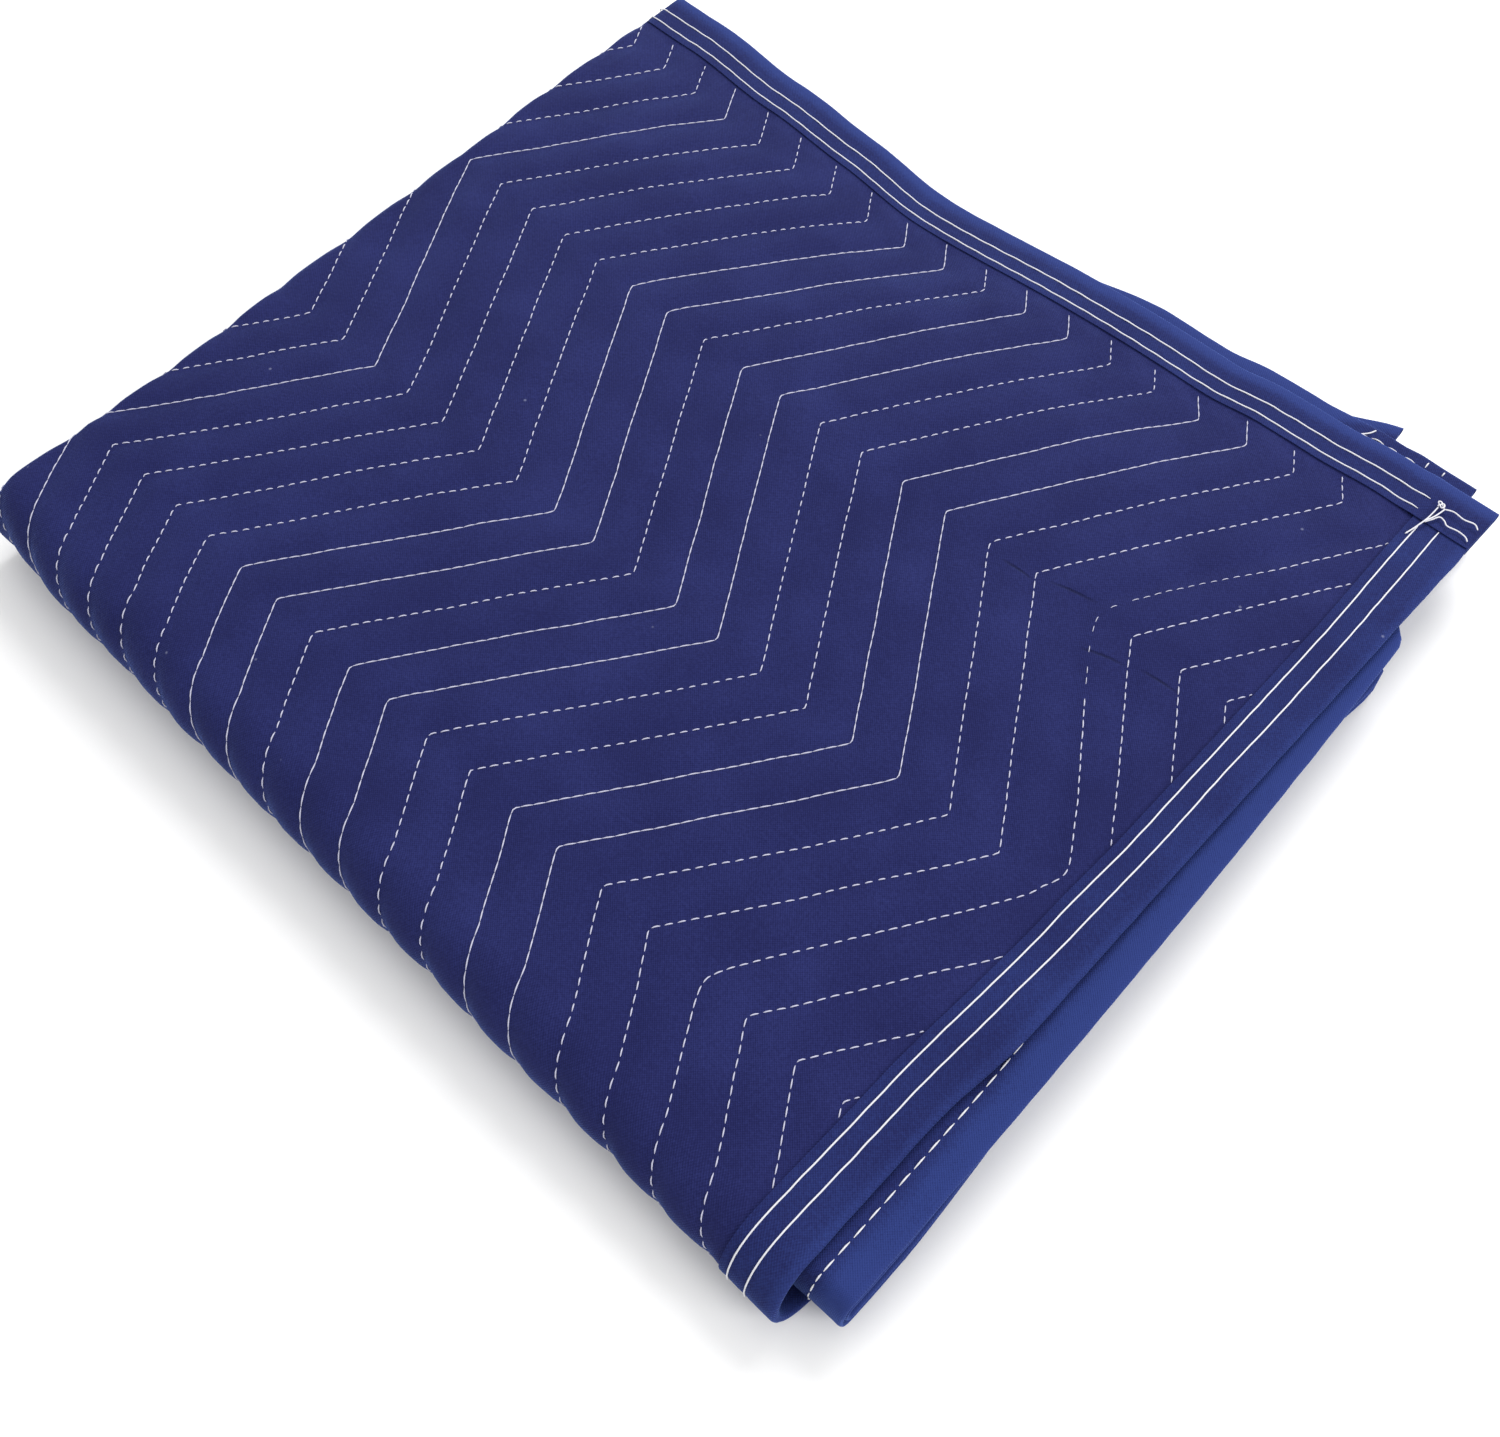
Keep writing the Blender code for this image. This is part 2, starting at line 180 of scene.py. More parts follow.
# How unevenly the stitches are cut: by how much, how fast it changes, between which limits, from which
# length on, and the most that one may grow
TRIM = 0.0011
TRIM_SCALE = 22
TRIM_LIMITS = (-0.0006, 0.0014)
TRIM_LENGTH = 0.003
MOST_STRETCH = 1.12
# Rows whose stitches nearly touch
TIGHT_ROWS = (0, 5, 6, 8, 9, 12, 13)
TIGHT_GAP = 0.0002
TIGHT_ARCH = 0.3 * STITCH_ARCH + 0.0001
# The slack row. Over its bands it shifts, comes back and sags, and it ends in a hook near its last vertex.
# Part of it is faint: thinner, and with some stitches missing, at lengths past the near fold.
SLACK_ROW = 16
SLACK_ROUNDING = 0.06
SLACK_LAST_BAND = 3
SLACK_SHIFT = 0.0075
SLACK_SHIFT_AT = (0.98, 1.12)
SLACK_BACK = 0.0030
SLACK_BACK_AT = (1.3, 2.0)
SLACK_SAG = 0.0030
SLACK_SAG_AT = (2.2, 2.6)
SLACK_CUT = 2
SLACK_HOOK = (0.0034, -0.0012)
FAINT_FROM = S_TOP + 0.235
FAINT_SIZE = 0.62
FAINT_MORE = 0.3
FAINT_FADE = (0.31, 0.36)
MISSING_TO = S_TOP + 0.29
MISSING_OF_FIVE = (1, 3)
# The row that shows only at its turn beside the upper long binding
STUB_ROW = 19
STUB_SHIFT = 0.0025

# Hem threads: how far each row lies from the binding's inner edge
HEM_ROWS = (0.0042, 0.0126)
HEM_STITCH = 0.0060
HEM_STEP = 0.0080
HEM_WAVE_STEP = 0.0030
HEM_THREAD_R = 0.00035
HEM_ROWS_LOWER = (0.0036, 0.0116)
# Where the hem threads begin, on the short strips, on the long ones and on the long ones' hidden side, how
# much later the first row does, and the second row's hidden stitches
HEM_FIRST_SHORT = BIND_W - 0.0005
HEM_FIRST_LONG = BIND_W + 0.0006
HEM_FIRST_HIDDEN = 0.0006
HEM_LATER = 0.0012
HEM_SECOND_ROW = 0.001
# How the hem threads wander, as how high, how wide and where in the noise, and how they bow and stand proud
HEM_WANDER = ((0.0005, 0.045, 2.0), (0.00018, 0.008, 6.0))
HEM_ARCH = 0.00016
HEM_ARCH_TURN = 1.45
HEM_PROUD = 0.0001
HEM_STEP_UP = (BIND_W - 0.001, BIND_W + 0.003)
# How wide the upper long binding is at places along Y, and how much wider or narrower the far short one gets
HEM_WIDTHS = ((-0.030, 0.0250), (0.0, 0.0245), (0.060, 0.0236), (0.105, 0.0254), (0.150, 0.0238),
              (0.200, 0.0225), (0.320, 0.0225), (0.415, 0.0250))
SHORT_MORE = 0.0025
SHORT_MORE_AT = (PANEL_W + 0.05, PANEL_W + 0.15)
SHORT_LESS = 0.0070
SHORT_LESS_AT = (CUT_W - 0.075, CUT_W - 0.045)
# How the strips are drawn in along their seams, how the long and the short ones wave, as how high, how
# wide and where in the noise, and how far past a long strip's edge a short one steps down
SEAM_DIP = 0.00016
SEAM_HALF_W = 0.0011
STRIP_WAVE = 0.00022
STRIP_WAVE_W = 0.012
WAVE_SEEDS = (9.0, 5.0)
OVER_EDGE = 0.001
# A whole number that sets the short strips' UV apart from the long ones'
SHORT_UV = 3.0

# The loose thread at the far corner: each strand's places, as width t and length from the far hem
CORNER_THREADS = (((0.0223, 0.0367), (0.0210, 0.0316), (0.0197, 0.0259), (0.0194, 0.0204), (0.0195, 0.0141)),
                  ((0.0199, 0.0265), (0.0178, 0.0213), (0.0168, 0.0159), (0.0169, 0.0140)),
                  ((0.0168, 0.0147), (0.0130, 0.0135), (0.0078, 0.0143), (0.0032, 0.0131), (0.0006, 0.0146)),
                  ((0.0196, 0.0262), (0.0178, 0.0229), (0.0161, 0.0197), (0.0134, 0.0203), (0.0112, 0.0218),
                   (0.0064, 0.0209), (0.0026, 0.0213), (0.0007, 0.0227)),
                  ((0.0195, 0.0141), (0.0208, 0.0128), (0.0198, 0.0123), (0.0182, 0.0136), (0.0166, 0.0150)),
                  ((0.0200, 0.0150), (0.0186, 0.0128), (0.0174, 0.0140), (0.0182, 0.0152), (0.0196, 0.0136)))
UNDER_THREAD = ((0.9355, 0.0100), (0.9385, 0.0072), (0.9415, 0.0040), (0.9430, 0.0008))
# How far the strands stand off the strip: beside its inner edge, one over another, and in their middle
STRAND_RISE = 0.0012
STRAND_RISE_W = 0.009
STRAND_OVER = 0.0004
STRAND_BOW = 0.0007
STRAND_SIZE = 0.95
CURVE_POINTS = 7
# Small sharp creases of the upper panel, each from one place to another, as length from the far hem and width t
CREASES = (((0.1680, 0.1381), (0.1669, 0.1234)), ((0.1631, 0.1162), (0.1578, 0.0965)),
           ((0.1801, 0.0862), (0.1749, 0.0693)), ((0.1719, 0.0619), (0.1703, 0.0456)))

# Mesh steps in each stretch of the cloth and of the strips, and which of the hidden side's places are kept
FINE = 0.0030
COARSE = 0.0105
CLOTH_S_STEPS = (0.006, COARSE, 0.0013, COARSE, 0.0013, 0.0060, 0.0022, FINE, 0.0022)
CLOTH_T_STEPS = (0.006, 0.002, FINE, 0.0010, 0.0090, 0.006)
HIDDEN_S = 3
HIDDEN_T = 4
LONG_STEPS = (0.007, 0.0016, 0.007, 0.0016, 0.007, 0.0022, 0.0035)
SHORT_STEPS = (0.0035,)
STRIP_LEG = (0.0, 0.08, 0.13, 0.17, 0.21, 0.27, 0.35, 0.43, 0.47, 0.50, 0.53, 0.60, 0.75, 0.90, 1.0)
STRIP_TURN = (1.2, 1.4, 1.6, 1.8)
# Threads: how many sides, how thin at their ends, the angle from which an edge is sharp, and a nearly
# upright direction that no thread runs along
THREAD_SIDES = 5
THREAD_END = 0.45
THREAD_SHARP = 80
CLOTH_SHARP = 50
UPRIGHT = (0.01, 0.02, 1.0)


def smooth(a, b, x):
    """Rises from 0 at a to 1 at b, level at both ends."""
    k = np.clip((x - a) / (b - a), 0.0, 1.0)
    return k * k * (3 - 2 * k)


def blend(u, v, key):
    """The corners' shift at a share of the length and width, over X for key 0 and over Y for key 1."""
    near = CORNER_SHIFT["near_left"][key] * (1 - u) + CORNER_SHIFT["near_right"][key] * u
    far = CORNER_SHIFT["far_left"][key] * (1 - u) + CORNER_SHIFT["far_right"][key] * u
    return near * (1 - v) + far * v


def warp(x, y):
    """Takes a place in the plain rectangle to where it lies on the ground."""
    u = np.clip(x / PANEL_W, *WARP_U)
    v = np.clip(y / TOP_SPAN, *WARP_V)
    return x + blend(u, v, 0), y + blend(u, v, 1)


def unwarp(x, y):
    """The place in the plain rectangle that warp takes here."""
    a, b = np.array(x, float), np.array(y, float)
    for _ in range(WARP_ROUNDS):
        p, q = warp(a, b)
        a = a + x - p
        b = b + y - q
    return a, b


def puff(x, y):
    """How high the stack stands here, next to its nominal height."""
    u = x / PANEL_W
    v = y / TOP_SPAN
    high = 1.0 + PUFF_HIGH * (1 - smooth(*HIGH_U, u)) * (1 - smooth(*HIGH_V, v))
    low = PUFF_LOW * smooth(*LOW_U, u) * (1 - smooth(*LOW_V, v))
    hem = DROP_FAR * smooth(*DROP_V, v) + DROP_SIDE * smooth(*DROP_U, u)
    away = (x - CREASE_X) / CREASE_HALF_W
    crease = CREASE_DEPTH * smooth(CREASE_FROM, 1.0, v) * np.exp(-away * away)
    return high - low - hem - crease


def path(s):
    """Centre of a pair of layers in the stack's section: y, z and its outward normal, for each s."""
    mid = 2 * LEVEL
    inner = (s - S_INNER) / PITCH
    turn = (s - S_TURN) / PITCH
    wrap = (s - S_WRAP) / WRAP_R
    one = np.ones_like(s)
    where = [s < S_INNER, s < S_LOW, s < S_TURN, s < S_BASE, s < S_WRAP, s < S_TOP]
    y = np.select(where, [END_SPAN - s, -PITCH * np.sin(inner), s - S_LOW, BACK_SPAN + PITCH * np.sin(turn),
                          S_WRAP - s, -WRAP_R * np.sin(wrap)], s - S_TOP)
    z = np.select(where, [(mid + PITCH) * one, mid + PITCH * np.cos(inner), (mid - PITCH) * one,
                          LEVEL + PITCH * np.cos(turn), PITCH * one, mid - WRAP_R * np.cos(wrap)],
                  (mid + WRAP_R) * one)
    ny = np.select(where, [0 * one, np.sin(inner), 0 * one, np.sin(turn), 0 * one, -np.sin(wrap)], 0 * one)
    nz = np.select(where, [-one, -np.cos(inner), one, np.cos(turn), -one, -np.cos(wrap)], one)
    return y, z, ny, nz


def waver(table, x):
    """How far an edge lies from straight at this place along it."""
    out = np.full(np.shape(x), table[0][1], float)
    for (a, low), (b, high) in zip(table[:-1], table[1:]):
        out = out + (high - low) * smooth(a, b, x)
    return out


def stray(s, t, x, y):
    """How far a layer strays from the layer on top of it, over X and Y."""
    under = (t > PANEL_W + EDGE_ARC).astype(float)
    top = smooth(S_WRAP, S_TOP, s)
    end = 1 - smooth(*END_FADE, s / S_INNER)
    far = np.clip(y / UNDER_BOW_Y, 0.0, 1.0)
    over = smooth(TUCK_Y[1], TOP_SPAN, y)
    tuck = smooth(*TUCK_Y, y)
    dx = under * (UNDER_REACH - UNDER_BOW * far * far - top * (UNDER_TUCK * tuck + UNDER_LEAN * over))
    dx = dx - (1 - top) * LOW_TUCK * tuck
    dx = dx - (1 - under) * top * TOP_DRAW * (1 - smooth(*TOP_DRAW_Y, y))
    dx = dx - (1 - top) * LOW_BOW * smooth(*BOW_IN, y) * (1 - smooth(*BOW_OUT, y))
    dx = dx - end * END_DRAW * smooth(*END_DRAW_Y, y)
    dy = under * top * UNDER_LEAD * smooth(*LEAD_Y, y) * smooth(*LEAD_X, x)
    dy = dy + end * END_LEAD * smooth(*END_X, x)
    dy = dy + waver(HEM_WAVER, x) * smooth(*WAVER_Y, y)
    inside = np.where(s < S_BASE, 1.0, under)
    nose = inside * NOSE_TUCK * smooth(*NOSE_U, x / PANEL_W)
    dy = dy + np.minimum(0.0, y) * (WRAP_SWELL * smooth(*SWELL_X, x) - nose)
    at_fold = waver(FOLD_WAVER, y) * (1 - smooth(*FOLD_X, x))
    return at_fold + dx * smooth(*REACH_U, x / PANEL_W), dy


def fold(s, t, n):
    """Points of the flat cloth at length s, width t and height n, taken to their places in the stack."""
    s, t, n = np.broadcast_arrays(*(np.asarray(q, float) for q in (s, t, n)))
    turn = 2 * (t - PANEL_W) / PITCH
    where = [t < PANEL_W, t < PANEL_W + EDGE_ARC]
    x = np.select(where, [PANEL_W - t, -np.sin(turn) * (PITCH / 2 + n)], t - PANEL_W - EDGE_ARC)
    h = np.select(where, [PITCH / 2 + n, np.cos(turn) * (PITCH / 2 + n)], -PITCH / 2 - n)
    y, z, ny, nz = path(s)
    y = y + ny * h
    z = z + nz * h - (PITCH / 2 - HALF)
    dx, dy = stray(s, t, x, y)
    x, y = x + dx, y + dy
    px, py = warp(x, y)
    return np.stack([px - MIDDLE[0], py - MIDDLE[1], z * puff(x, y)], -1)


def long_width(s, lower=False):
    """How wide the long bindings are here. The upper one changes along the top layer."""
    return BIND_W + 0 * s if lower else waver(HEM_WIDTHS, s - S_TOP)


def short_width(t, at_far):
    """How wide the short bindings are: the far one is wider under the top layer, and narrow at its corner."""
    if not at_far:
        return BIND_W + 0 * t
    wide = SHORT_MORE * smooth(*SHORT_MORE_AT, t)
    return BIND_W + wide - (SHORT_MORE + SHORT_LESS) * smooth(*SHORT_LESS_AT, t)


def cloth_half(s, t):
    """Half the cloth's thickness, thinner under each binding and thinnest at the corners."""
    end = 1 - smooth(BIND_W, BIND_W + RAMP, np.minimum(s, CUT_L - s))
    edge = np.where(t < PANEL_W, long_width(s), BIND_W)
    side = 1 - smooth(edge, edge + RAMP, np.minimum(t, CUT_W - t))
    one = HALF + (HALF_BOUND - HALF) * np.maximum(end, side)
    return one + (HALF_CORNER - HALF_BOUND) * np.minimum(end, side)


def drawn(x, y):
    """How far the top layer is drawn in over X, most at the near end of its loose edge."""
    top = smooth(-WRAP_ARC, 0.0, y)
    return -TOP_DRAW * top * (1 - smooth(*TOP_DRAW_Y, y)) * smooth(*REACH_U, x / PANEL_W)


def ground(s, t):
    """Where a point of the upper panel lies on the ground. The wrap counts as unrolled."""
    x, y = PANEL_W - t, s - S_TOP
    return warp(x + drawn(x, y), y)


def flat_place(x, y):
    """The flat cloth's s and t under a point on the ground of the upper panel."""
    u, v = unwarp(x, y)
    inside = u
    for _ in range(DRAWN_ROUNDS):
        inside = u - drawn(inside, v)
    return S_TOP + v, PANEL_W - inside


def row_shift(x, y):
    """How far the rows of quilting lie off their even lines, over Y."""
    last = len(ROW_SHIFT) - 1
    band = np.clip((y - ROW_Y0) / HALF_PERIOD, 0.0, last)
    shifts = np.stack([np.interp(x, SHIFT_X, line) for line in ROW_SHIFT])
    low = np.minimum(np.floor(band).astype(int), last - 1)
    first = np.take_along_axis(shifts, low[None], 0)[0]
    second = np.take_along_axis(shifts, low[None] + 1, 0)[0]
    return first + (second - first) * (band - low)


def row_bend(x, y, band):
    """How far the rows lie off their even lines, over X: at the near fold, first vertices and far hem."""
    curl = ROW_CURL * (1 - smooth(*CURL_Y, y)) * (1 - smooth(*CURL_X, x))
    back = ROW_BACK * smooth(*BACK_FROM, x) * (1 - smooth(*BACK_TO, x)) * np.clip(1 - np.abs(band), 0, 1)
    return curl - back - ROW_DRAW * np.clip(band - 2, 0, 1)


def row_distance(x, y):
    """How far a point of the ground lies from the nearest row of quilting, in metres."""
    y = y - row_shift(x, y)
    band = (y - ROW_Y0) / HALF_PERIOD
    step = np.floor(band)
    part = band - step
    side = np.where(step % 2 == 0, part, 1 - part)
    at = (x - row_bend(x, y, band) - ROW_X0 - ROW_AMP * side) / ROW_STEP
    phase = at - np.floor(at)
    return np.minimum(phase, 1 - phase) * ROW_STEP * HALF_PERIOD / math.hypot(HALF_PERIOD, ROW_AMP)


def row_route(row):
    """One row of quilting as points on the ground, over all the bands, with slightly rounded vertices."""
    slack = row == SLACK_ROW
    stop = SLACK_LAST_BAND * BAND_POINTS - SLACK_CUT if slack else BANDS.stop * BAND_POINTS
    band = np.arange(BANDS.start * BAND_POINTS, stop + 1) / BAND_POINTS
    nearest = np.round(band)
    soft = SLACK_ROUNDING if slack else ROUNDING
    near = np.sqrt((band - nearest) ** 2 + soft * soft) - soft * soft
    side = np.where(nearest % 2 == 0, near, 1 - near)
    wobble = sum(high * ripple(band, 0 * band + row * apart, wide, seed) for high, wide, seed, apart in WOBBLE)
    x = ROW_X0 + ROW_STEP * row + ROW_AMP * side + wobble
    x = x + row_bend(x, ROW_Y0 + HALF_PERIOD * band, band)
    if slack:
        back = SLACK_BACK * smooth(*SLACK_BACK_AT, band)
        x = x + smooth(*SLACK_SHIFT_AT, band) * (SLACK_SHIFT - back)
        x = x + SLACK_SAG * smooth(*SLACK_SAG_AT, band)
    if row == STUB_ROW:
        x = x - STUB_SHIFT
    y = ROW_Y0 + HALF_PERIOD * band
    y = y + row_shift(x, y)
    if slack:
        x = np.append(x, x[-1] + SLACK_HOOK[0])
        y = np.append(y, y[-1] + SLACK_HOOK[1])
    return x, y


def ripple(s, t, scale, seed):
    """Smooth noise over the flat cloth, from about -1 to 1."""
    flat = np.stack([np.ravel(s) / scale, np.ravel(t) / scale], -1)
    found = [noise.noise(Vector((a, b, seed))) for a, b in flat]
    return np.array(found).reshape(np.shape(s))


class Surface:
    """Heights over a grid of places, read between them as the mesh does."""

    def __init__(self, s, t, height):
        self.s, self.t, self.height = s, t, height

    def at(self, s, t):
        """The height at each place."""
        i = np.clip(np.searchsorted(self.s, s) - 1, 0, len(self.s) - 2)
        j = np.clip(np.searchsorted(self.t, t) - 1, 0, len(self.t) - 2)
        a = np.clip((s - self.s[i]) / (self.s[i + 1] - self.s[i]), 0, 1)
        b = np.clip((t - self.t[j]) / (self.t[j + 1] - self.t[j]), 0, 1)
        h = self.height
        low = h[i, j] * (1 - b) + h[i, j + 1] * b
        high = h[i + 1, j] * (1 - b) + h[i + 1, j + 1] * b
        return low * (1 - a) + high * a


def stations(edges, steps):
    """Places from the first edge to the last, in even steps of about the given size in each stretch."""
    out = [edges[0]]
    for a, b, step in zip(edges[:-1], edges[1:], steps):
        count = max(1, round((b - a) / step))
        out += [a + (b - a) * (k + 1) / count for k in range(count)]
    return np.array(out)


def grid_faces(rows, cols, start, flip):
    """Quads of a grid of points that are numbered from start, row by row."""
    i, j = np.meshgrid(np.arange(rows - 1), np.arange(cols - 1), indexing="ij")
    a = (start + i * cols + j).ravel()
    quads = np.stack([a, a + cols, a + cols + 1, a + 1], -1)
    return (quads[:, ::-1] if flip else quads).tolist()


def closed_faces(rows, cols, keep_i, keep_j):
    """Faces of a slab: its full grid, its thinned grid behind, and the rim between the two."""
    size = rows * cols
    wide = len(keep_j)
    front = np.arange(size).reshape(rows, cols)
    back = size + np.arange(len(keep_i) * wide).reshape(len(keep_i), wide)
    faces = grid_faces(rows, cols, 0, False) + grid_faces(len(keep_i), wide, size, True)
    for k, (a, b) in enumerate(zip(keep_j[:-1], keep_j[1:])):
        faces.append(front[0, a:b + 1].tolist() + [int(back[0, k + 1]), int(back[0, k])])
        faces.append(front[-1, a:b + 1][::-1].tolist() + [int(back[-1, k]), int(back[-1, k + 1])])
    for k, (a, b) in enumerate(zip(keep_i[:-1], keep_i[1:])):
        faces.append(front[a:b + 1, 0][::-1].tolist() + [int(back[k, 0]), int(back[k + 1, 0])])
        faces.append(front[a:b + 1, -1].tolist() + [int(back[k + 1, -1]), int(back[k, -1])])
    return faces


def make_mesh(name, points, faces, material, uv=None, sharp=CLOTH_SHARP):
    """A smooth piece from points and faces, turned so that its faces point out."""
    mesh = bpy.data.meshes.new(name)
    points[:, 2] = np.maximum(points[:, 2], 0.0)
    mesh.from_pydata(points.tolist(), [], faces)
    mesh.update()
    bm = bmesh.new()
    bm.from_mesh(mesh)
    if bm.calc_volume(signed=True) < 0:
        bmesh.ops.reverse_faces(bm, faces=bm.faces[:])
    bm.to_mesh(mesh)
    bm.free()
    if uv is not None:
        layer = mesh.uv_layers.new(name="cut")
        index = np.empty(len(mesh.loops), dtype=np.int32)
        mesh.loops.foreach_get("vertex_index", index)
        layer.data.foreach_set("uv", uv[index].astype(np.float32).ravel())
    mesh.shade_smooth()
    mesh.set_sharp_from_angle(angle=math.radians(sharp))
    mesh.materials.append(material)
    obj = bpy.data.objects.new(name, mesh)
    bpy.context.scene.collection.objects.link(obj)
    return obj


def thin(stops, must, step):
    """Indices of the places to keep on the hidden side: one in each step, and all where must holds."""
    return [k for k in range(len(stops)) if k % step == 0 or must[k] or k == len(stops) - 1]


def between(q, a, b):
    """Where the places lie between a and b."""
    return (q > a) & (q < b)


def make_cloth(material):
    """The fine cloth, with its relief on the outer face, and that face's heights."""
    s = stations([0.0, BIND_W, S_INNER, S_LOW, S_TURN, S_BASE, S_WRAP, S_TOP, CUT_L - BIND_W - RAMP, CUT_L],
                 CLOTH_S_STEPS)
    t = stations([0.0, BIND_W, BIND_W + RAMP, PANEL_W, PANEL_W + EDGE_ARC, CUT_W - BIND_W - RAMP, CUT_W],
                 CLOTH_T_STEPS)
    ss, tt = np.meshgrid(s, t, indexing="ij")
    half = cloth_half(ss, tt)
    gx, gy = ground(ss, tt)
    valley = np.exp(-(row_distance(gx, gy) / QUILT_WIDTH) ** 2)
    hemmed = smooth(BIND_W, BIND_W + HEM_FADE, np.minimum(ss, CUT_L - ss))
    hemmed = hemmed * smooth(0.0, HEM_FADE, np.minimum(tt - long_width(ss), CUT_W - tt - BIND_W))
    sewn = (ss > SEWN_FROM) * (1 - smooth(PANEL_W, PANEL_W + EDGE_ARC, tt))
    dip = QUILT_DIP * valley * hemmed * sewn
    shown = smooth(S_WRAP, SHOWN_TO, ss) * (tt < PANEL_W)
    broad, small = (high * ripple(ss, tt, scale, seed) * hemmed * shown for high, scale, seed in UNEVEN)
    outer = half - dip + broad + small
    front = fold(ss, tt, outer)
    must_s = between(s, S_INNER, S_LOW) | between(s, S_TURN, S_BASE) | between(s, S_WRAP, S_TOP)
    must_t = between(t, PANEL_W, PANEL_W + EDGE_ARC) | (t < BIND_W + RAMP) | (t > CUT_W - BIND_W - RAMP)
    keep_i = thin(s, must_s, HIDDEN_S)
    keep_j = thin(t, must_t, HIDDEN_T)
    sb, tb = ss[np.ix_(keep_i, keep_j)], tt[np.ix_(keep_i, keep_j)]
    back = fold(sb, tb, -half[np.ix_(keep_i, keep_j)])
    points = np.concatenate([front.reshape(-1, 3), back.reshape(-1, 3)])
    uv = np.concatenate([np.stack([ss.ravel(), tt.ravel()], -1), np.stack([sb.ravel(), tb.ravel()], -1)])
    faces = closed_faces(len(s), len(t), keep_i, keep_j)
    cloth = make_mesh("blanket_cloth", points, faces, material, uv)
    return cloth, Surface(s, t, outer)


def strip_curve(w, half, wide):
    """The strip's middle line round the cloth's edge, for w from 0 to 3: leg, turn, leg."""
    reach = half + BIND_GAP + BIND_T / 2
    turn = math.pi * (w - 1)
    where = [w < 1, w <= 2]
    d = np.select(where, [wide * (1 - w), -reach * np.sin(turn)], wide * (w - 2))
    h = np.select(where, [reach, reach * np.cos(turn)], -reach)
    nd = np.select(where, [0 * w, -np.sin(turn)], 0 * w)
    nh = np.select(where, [1 + 0 * w, np.cos(turn)], -1 + 0 * w)
    return d, h, nd, nh


def strip_half(a, short):
    """Half the thickness of what a strip goes round, along the strip."""
    if not short:
        return cloth_half(a, 0 * a)
    inside = np.clip(a, 0.0, CUT_W)
    over = 1 - smooth(BIND_W + OVER_EDGE, BIND_W + OVER_EDGE + RAMP, np.minimum(inside, CUT_W - inside))
    return cloth_half(0 * a, inside) + over * (BIND_GAP + BIND_T)


def strip_place(a, d, h, short, at_far):
    """A point of a strip, taken to its place in the stack: a along it, d in from the edge, h up."""
    inward = -1.0 if at_far else 1.0
    if short:
        return fold((CUT_L if at_far else 0.0) + inward * d, a, h)
    return fold(a, (CUT_W if at_far else 0.0) + inward * d, h)


def make_binding(name, short, at_far, material):
    """A strip sewn round one edge of the cloth, drawn in along its two rows of thread."""
    extra = 2 * BIND_GAP + BIND_T
    if short:
        a = stations([-extra, CUT_W + extra], SHORT_STEPS)
    else:
        a = stations([0.0, S_INNER, S_LOW, S_TURN, S_BASE, S_WRAP, S_TOP, CUT_L], LONG_STEPS)
    w = np.array([*STRIP_LEG, *STRIP_TURN, *(3 - q for q in STRIP_LEG[::-1])])
    aa, ww = np.meshgrid(a, w, indexing="ij")
    wide = short_width(aa, at_far) if short else long_width(aa, at_far)
    d, h, nd, nh = strip_curve(ww, strip_half(aa, short), wide)
    from_inner = wide - d
    sewn = sum(np.exp(-((from_inner - row) / SEAM_HALF_W) ** 2) for row in HEM_ROWS)
    loose = np.clip(from_inner / BIND_W, 0, 1)
    wave = STRIP_WAVE * ripple(aa, from_inner, STRIP_WAVE_W, WAVE_SEEDS[short]) * loose
    outer = BIND_T / 2 + (-SEAM_DIP * sewn + wave)
    inner = -BIND_T / 2 + 0 * outer
    front = strip_place(aa, d + nd * outer, h + nh * outer, short, at_far)
    back = strip_place(aa, d + nd * inner, h + nh * inner, short, at_far)
    points = np.concatenate([front.reshape(-1, 3), back.reshape(-1, 3)])
    uv = np.stack([aa.ravel(), (from_inner + (SHORT_UV if short else 0.0)).ravel()], -1)
    faces = closed_faces(len(a), len(w), list(range(len(a))), list(range(len(w))))
    return make_mesh(name, points, faces, material, np.concatenate([uv, uv]))


def tubes(name, lines, material):
    """One piece of many threads. Each line is a row of points and a radius. Its ends are thinner."""
    points, faces = [], []
    for line, radius in lines:
        line = np.asarray(line, float)
        along = np.gradient(line, axis=0)
        along /= np.linalg.norm(along, axis=1)[:, None] + 1e-12
        side = np.cross(along, UPRIGHT)
        side /= np.linalg.norm(side, axis=1)[:, None] + 1e-12
        up = np.cross(side, along)
        start = len(points)
        count = len(line)
        for k in range(count):
            size = radius * (THREAD_END if k in (0, count - 1) else 1.0)
            for q in range(THREAD_SIDES):
                turn = 2 * math.pi * q / THREAD_SIDES
                points.append(line[k] + size * (math.cos(turn) * side[k] + math.sin(turn) * up[k]))
        for k in range(count - 1):
            for q in range(THREAD_SIDES):
                a = start + k * THREAD_SIDES + q
                b = start + k * THREAD_SIDES + (q + 1) % THREAD_SIDES
                faces.append([a, b, b + THREAD_SIDES, a + THREAD_SIDES])
        faces.append([start + q for q in range(THREAD_SIDES)][::-1])
        faces.append([start + (count - 1) * THREAD_SIDES + q for q in range(THREAD_SIDES)])
    return make_mesh(name, np.array(points), faces, material, sharp=THREAD_SHARP)


